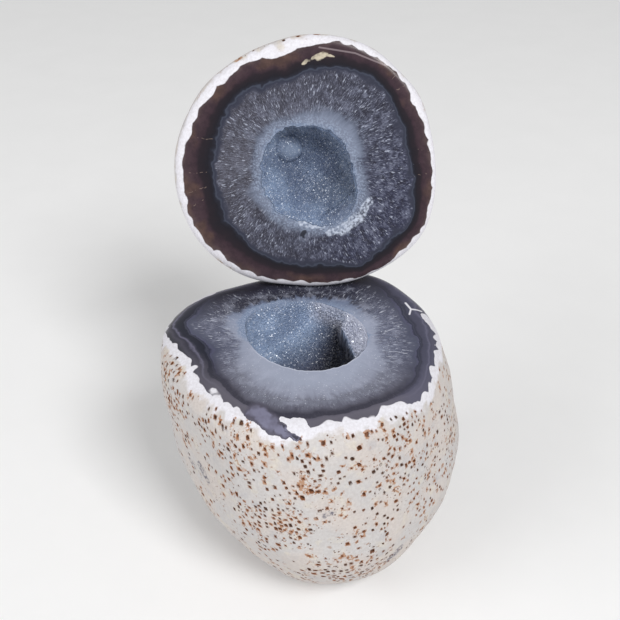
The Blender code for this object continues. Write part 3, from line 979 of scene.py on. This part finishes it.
def agateStone():
    material, tree, shader = newMaterial("agateStone", 0.3, 0.2)
    spot, growth, bent, fromAgate, toneAndShade, brim, faceSpot = stoneParts(tree, 9.0)
    streaks = useGroup(crystalStreaks, FaceSpot=faceSpot, Stroke=0.0045, Across=0.0008)
    feathers = streaks.also("Feather")
    place = (bent + (streaks - 0.5) * 0.9 * spread(growth, 1.15, 1.5)) / bandReach
    # paler in front and darker at the back: painted light and shade
    toFront = spread(toneAndShade, 0.45, 0.85)
    toRear = fading(toneAndShade, 0.08, 0.34)
    sides, front, rear = (bandRamp(place, baseShades[name]) for name in ("sides", "front", "rear"))
    face = mixed(toRear, mixed(toFront, sides, front), rear)
    zone = spread(bent, 1.10, 1.35) * fading(bent, 1.85, 2.15)
    awayFromFront = 1.0 - toFront * 0.8
    rough = zone * awayFromFront
    pale = spread(feathers, 0.54, 0.66, 0.0, 0.55) * spread(toneAndShade, 0.0, 0.3, 0.4, 1.0)
    cloudy = cloud(spot, 170.0, 5.0, 0.7) * spread(bent, 1.0, 1.5)
    snow = spread(cloud(spot, 1700.0, 1.0), 0.70, 0.75, 0.0, 0.7) * spread(bent, 1.2, 1.6)
    face = painted(face, (
        (spread(feathers, 0.38, 0.52, 0.6, 0.0) * rough, (58, 58, 72)),
        (pale * rough, (164, 168, 188)),
        (streaks.also("Fleck") * rough * spread(toneAndShade, 0.0, 0.3, 0.45, 0.8), (204, 208, 222)),
        (spread(cloudy, 0.46, 0.66, 0.0, 0.3), (178, 182, 200)),
        (spread(feathers, 0.36, 0.50, 0.3, 0.0) * toFront * spread(bent, 1.7, 1.3), (88, 88, 100)),
        (snow, (226, 229, 238)),
    ))
    # the brim of the hollow: crystals at the back and the sides, and a thin light edge in front
    leftward = vectorMaths("DOT_PRODUCT", faceSpot, (-0.87, 0.50, 0.0), 1)
    atLeft = spread(leftward, 0.018, 0.027)
    ragged = cloud(spot, 260.0, 3.0, 0.6) * 6.0
    nearMouth = fading((brim + ragged) - atLeft * 3.2, 2.2, 4.4)
    grains = spread(cloud(spot, 1500.0, 2.0, 0.6), 0.42, 0.62, -0.3, 0.5) * nearMouth * awayFromFront
    thinEdge = spread(brim, 0.1, 0.8, 0.85, 0.0) * spread(toneAndShade, 0.4, 0.7)
    atRight = spread(addNode("ShaderNodeSeparateXYZ", {0: faceSpot}), 0.030, 0.044)
    face = painted(face, (
        (nearMouth * spread(toneAndShade, 0.35, 0.6, 0.9, 0.0), (124, 140, 168)),
        (grains, (190, 198, 216)),
        (thinEdge, (198, 203, 218)),
        (atRight * spread(bent, 0.95, 0.70, 0.0, 0.5), (94, 94, 116)),  # a violet haze over the bands
    ))
    # the violet tongue in the rind, the white knob beside it, the white mark and the patch at the right
    torn = broken(spot, 420.0, 0.0030)
    soft = broken(spot, 260.0, 0.0024)
    tongue = strokes(torn, baseMarks["tongue"])
    core = strokes(torn, [(start, end, width * 0.72) for start, end, width in baseMarks["tongue"]])
    violet = core * spread(cloud(spot, 190.0), 0.38, 0.62, 0.35, 1.0)
    tongueColour = mixed(violet, (84, 81, 95), (121, 120, 141))
    tongueColour = mixed(strokes(soft, baseMarks["tongueShade"]), tongueColour, (66, 64, 76))
    needles = strokes(soft, baseMarks["needles"]) * 0.6
    white = strokes(spot, baseMarks["white"])
    face = painted(face, ((tongue, tongueColour), (needles, (206, 209, 222)), (white, (226, 225, 232))))
    solid = maths("MAXIMUM", strokes(soft, baseMarks["knob"]), strokes(soft, baseMarks["rightPatch"]))
    fromAgate = maths("MAXIMUM", fromAgate - tongue * 6.0, solid * 4.6 - 3.0)
    finishStone(shader, spot, fromAgate, face, baseMarks["scuffs"])
    return material


# Marks on the lid's face as the viewer sees it, from its middle
lidMarks = {
    "vein": (
        ((0.0005, 0.0408), (0.0060, 0.0428), 0.0014),
        ((0.0060, 0.0428), (0.0092, 0.0440), 0.0026),
        ((0.0092, 0.0440), (0.0128, 0.0432), 0.0012),
    ),
    "thread": (
        ((0.0070, 0.0470), (0.0217, 0.0447), 0.0007),
        ((0.0217, 0.0447), (0.0345, 0.0397), 0.0007),
    ),
    "crystals": (
        ((0.0285, -0.0165), (0.0240, -0.0235), 0.0034),
        ((0.0240, -0.0235), (0.0165, -0.0290), 0.0046),
        ((0.0165, -0.0290), (0.0110, -0.0300), 0.0024),
        ((0.0075, -0.0270), (0.0000, -0.0255), 0.0036),
    ),
    "holeShade": (
        ((-0.0002, -0.0312), (0.0010, -0.0300), 0.0022),
    ),
    "cracks": (
        ((-0.0440, 0.0105), (-0.0380, 0.0095), 0.0003),
        ((-0.0485, -0.0050), (-0.0400, -0.0035), 0.0003),
        ((-0.0490, -0.0135), (-0.0410, -0.0100), 0.0003),
        ((-0.0465, -0.0190), (-0.0415, -0.0150), 0.0003),
        ((0.0480, 0.0050), (0.0540, 0.0040), 0.0003),
        ((0.0470, -0.0060), (0.0550, -0.0045), 0.0003),
        ((0.0370, 0.0340), (0.0400, 0.0375), 0.0003),
        ((0.0390, 0.0300), (0.0450, 0.0330), 0.0003),
    ),
}
lidShades = (
    (0.00, 84, 69, 70), (0.05, 70, 54, 60), (0.15, 58, 43, 51), (0.19, 38, 31, 38),
    (0.27, 28, 26, 34), (0.300, 36, 37, 48), (0.312, 64, 69, 84), (0.324, 50, 52, 66),
    (0.38, 60, 62, 78), (0.58, 68, 71, 88), (0.655, 98, 105, 123), (0.80, 118, 126, 145),
)


def lidAgateStone():
    material, tree, shader = newMaterial("lidAgateStone", 0.3, 0.25)
    spot, growth, bent, fromAgate, toneAndShade, brim, faceSpot = stoneParts(tree, 4.5)
    streaks = useGroup(crystalStreaks, FaceSpot=faceSpot, Stroke=0.0030, Across=0.0009)
    feathers = streaks.also("Feather")
    uneven = cloud(spot, 110.0, 1.0) - 0.5
    inwards = ((streaks - 0.5) * 1.3 + uneven) * spread(growth, 1.3, 1.7)
    amber = spread(cloud(spot, 75.0), 0.50, 0.66) * fading(bent, 0.30, 0.62)
    clotted = spread(cloud(spot, 340.0, 4.0, 0.7), 0.38, 0.62, 0.0, 0.35)
    face = painted(bandRamp((bent + inwards) / bandReach, lidShades), (
        (amber * 0.5, (100, 77, 64)),
        (clotted * fading(bent, 0.7, 0.9), (34, 26, 33)),
        (strokes(broken(faceSpot, 300.0, 0.0030), lidMarks["cracks"]) * 0.6, (140, 122, 112)),
    ))
    zone = spread(bent, 1.06, 1.20) * fading(bent, 1.85, 2.20)
    violetward = vectorMaths("DOT_PRODUCT", faceSpot, (0.8, -0.6, 0.0), 1)
    clumps = cloud(spot, 260.0, 4.0, 0.7)
    for share, shade in (
        (spread(violetward, 0.010, 0.045, 0.0, 0.60), (50, 53, 80)),
        (spread(clumps, 0.36, 0.52, 0.85, 0.0), (38, 38, 52)),
        (spread(clumps, 0.50, 0.64, 0.0, 0.6), (118, 122, 142)),
        (toneAndShade * 0.55, (96, 94, 101)),
        (spread(feathers, 0.36, 0.54, 0.75, 0.0), (34, 34, 46)),
        (spread(feathers, 0.53, 0.66, 0.0, 0.7), (134, 139, 158)),
        (streaks.also("Fleck") * 0.65, (184, 190, 208)),
    ):
        face = mixed(share * zone, face, shade)
    # crystals at the brim of the hollow, white ones below it, and the painted shade of a small hole
    grains = spread(cloud(spot, 1300.0, 2.0, 0.6), 0.42, 0.60, -0.35, 0.55)
    ragged = cloud(spot, 240.0, 3.0, 0.6) * 7.0
    nearMouth = fading(brim + ragged, 2.8, 5.2)
    torn = broken(faceSpot, 450.0, 0.0028)
    whites = strokes(torn, lidMarks["crystals"]) * spread(cloud(spot, 900.0, 3.0), 0.30, 0.66)
    soft = broken(faceSpot, 240.0, 0.0034)
    veined = strokes(soft, lidMarks["vein"]) * spread(cloud(spot, 500.0, 3.0), 0.30, 0.60, 0.5, 1.0)
    face = painted(face, (
        (nearMouth * 0.8, (110, 124, 149)),
        (grains * fading(brim, 1.5, 6.0), (156, 168, 190)),
        (whites * 0.9, (196, 204, 220)),
        (strokes(torn, lidMarks["holeShade"]) * 0.85, (30, 31, 40)),
        (veined, (196, 186, 166)),
        (strokes(faceSpot, lidMarks["thread"]) * 0.5, (160, 146, 150)),
    ))
    finishStone(shader, spot, fromAgate, face)
    return material


def quartzCrystals():
    material, tree, shader = newMaterial("quartzCrystals", 0.2, 0.5)
    names = ("depth", "ledge", "glint", "paintedShade", "paintedShadow", "dome")
    depth, ledge, glint, paintedShade, paintedShadow, dome = (stored(tree, name) for name in names)
    broad = spread(cloud(objectSpot(tree), 90.0), 0.35, 0.65)
    shade = painted((125, 142, 171), (
        (broad, (153, 172, 201)),
        # darker deep down: painted shade
        (spread(depth, 0.45, 1.0, 0.0, 0.3), (76, 86, 110)),
        # painted shade, and the near-black painted shadow below the brink
        (paintedShade, (70, 72, 90)),
        (paintedShadow, (22, 20, 26)),
        (spread(depth, 0.0, 0.10, 0.4, 0.0), (150, 162, 186)),
        (ledge * 0.85, (190, 192, 207)),
        (dome * 0.45, (150, 166, 190)),
        (spread(glint, 0.0, 1.0, 0.35, 0.0), (70, 80, 102)),
    ))
    # painted highlights: a few facets get a near-white colour, fewer in the painted shade and shadow
    paintedSparkle = spread(glint, 0.95, 0.98) * spread(paintedShade, 0.0, 1.0, 0.85, 0.15)
    paintedSparkle = paintedSparkle * spread(paintedShadow, 0.1, 0.7, 1.0, 0.15)
    rough = maths("MAXIMUM", spread(glint, 0.2, 1.0, 0.34, 0.10), paintedShadow * 0.55)
    fill(shader, {"Base Color": mixed(paintedSparkle, shade, (226, 232, 244)), "Roughness": rough})
    return material


def addPiece(name, mesh, material, node, smooth):
    data = bpy.data.meshes.new(name)
    mesh.to_mesh(data)
    mesh.free()
    data.materials.append(material)
    if smooth:
        data.shade_smooth()
        data.set_sharp_from_angle(angle=math.radians(42))
    piece = bpy.data.objects.new(name, data)
    bpy.context.scene.collection.objects.link(piece)
    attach(piece, "root")
    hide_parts(node)
    print(name, sum(len(face.vertices) - 2 for face in data.polygons), "triangles")


lidKnobs = (((-0.0061, -0.0045), 0.0058, 0.0040),)
baseCrust = crystalCrust(baseHollow, inBase, (), 21)
lidCrust = crystalCrust(lidHollow, inLid, lidKnobs, 22)
crystals = quartzCrystals()
addPiece("geodeBaseStone", geodeBase(), agateStone(), "geode_base", True)
addPiece("geodeLidStone", geodeLid(), lidAgateStone(), "geode_lid", True)
addPiece("baseDruzyCrust", baseCrust, crystals, "base_crystal_crust", False)
addPiece("lidDruzyCrust", lidCrust, crystals, "lid_crystal_crust", False)
print("stones and crystals built")

# Floor, light and camera
studio = {
    "floorSize": 6.0,
    "cameraPlace": (-0.0097, -0.3461, 0.3548),
    "cameraTilt": math.radians(56),
    "lens": 60.97,
    "sky": 0.42,
    "key": (Vector((0.85, -1.45, 1.85)), 0.85, 36.0),
    "fill": (Vector((-1.60, -0.90, 1.20)), 1.20, 14.0),
    "target": Vector((-0.01, 0.0, 0.10)),
}


def addFloor():
    mesh = bmesh.new()
    bmesh.ops.create_grid(mesh, x_segments=1, y_segments=1, size=studio["floorSize"] / 2)
    bmesh.ops.translate(mesh, verts=mesh.verts, vec=(0.0, 0.0, -0.0002))
    data = bpy.data.meshes.new("floor")
    mesh.to_mesh(data)
    mesh.free()
    material, tree, shader = newMaterial("paleFloor", 0.8, 0.1)
    grain = cloud(objectSpot(tree), 30.0)
    fill(shader, {"Base Color": mixed(grain, (244, 244, 244), (248, 248, 248))})
    data.materials.append(material)
    floor = bpy.data.objects.new("floor", data)
    bpy.context.scene.collection.objects.link(floor)


def addLight(name, place, size, power):
    light = bpy.data.lights.new(name, "AREA")
    light.energy = power
    light.size = size
    lamp = bpy.data.objects.new(name, light)
    lamp.location = place
    lamp.rotation_euler = (place - studio["target"]).to_track_quat("Z", "Y").to_euler()
    bpy.context.scene.collection.objects.link(lamp)


def addSky():
    world = bpy.data.worlds.new("softRoom")
    world.use_nodes = True
    seen = addNode("ShaderNodeLightPath", {}, 0, world.node_tree)
    strength = addNode("ShaderNodeMix", {0: seen, 2: studio["sky"], 3: 1.0})
    fill(world.node_tree.nodes["Background"], {"Color": (1.0, 1.0, 1.0, 1.0), "Strength": strength})
    bpy.context.scene.world = world


def addCamera():
    lens = bpy.data.cameras.new("viewer")
    lens.lens = studio["lens"]
    lens.sensor_width = 36.0
    camera = bpy.data.objects.new("viewer", lens)
    camera.location = studio["cameraPlace"]
    camera.rotation_euler = (studio["cameraTilt"], 0.0, 0.0)
    bpy.context.scene.collection.objects.link(camera)
    bpy.context.scene.camera = camera


addFloor()
addLight("key", *studio["key"])
addLight("fill", *studio["fill"])
addSky()
addCamera()
bpy.context.scene.view_settings.view_transform = "Standard"
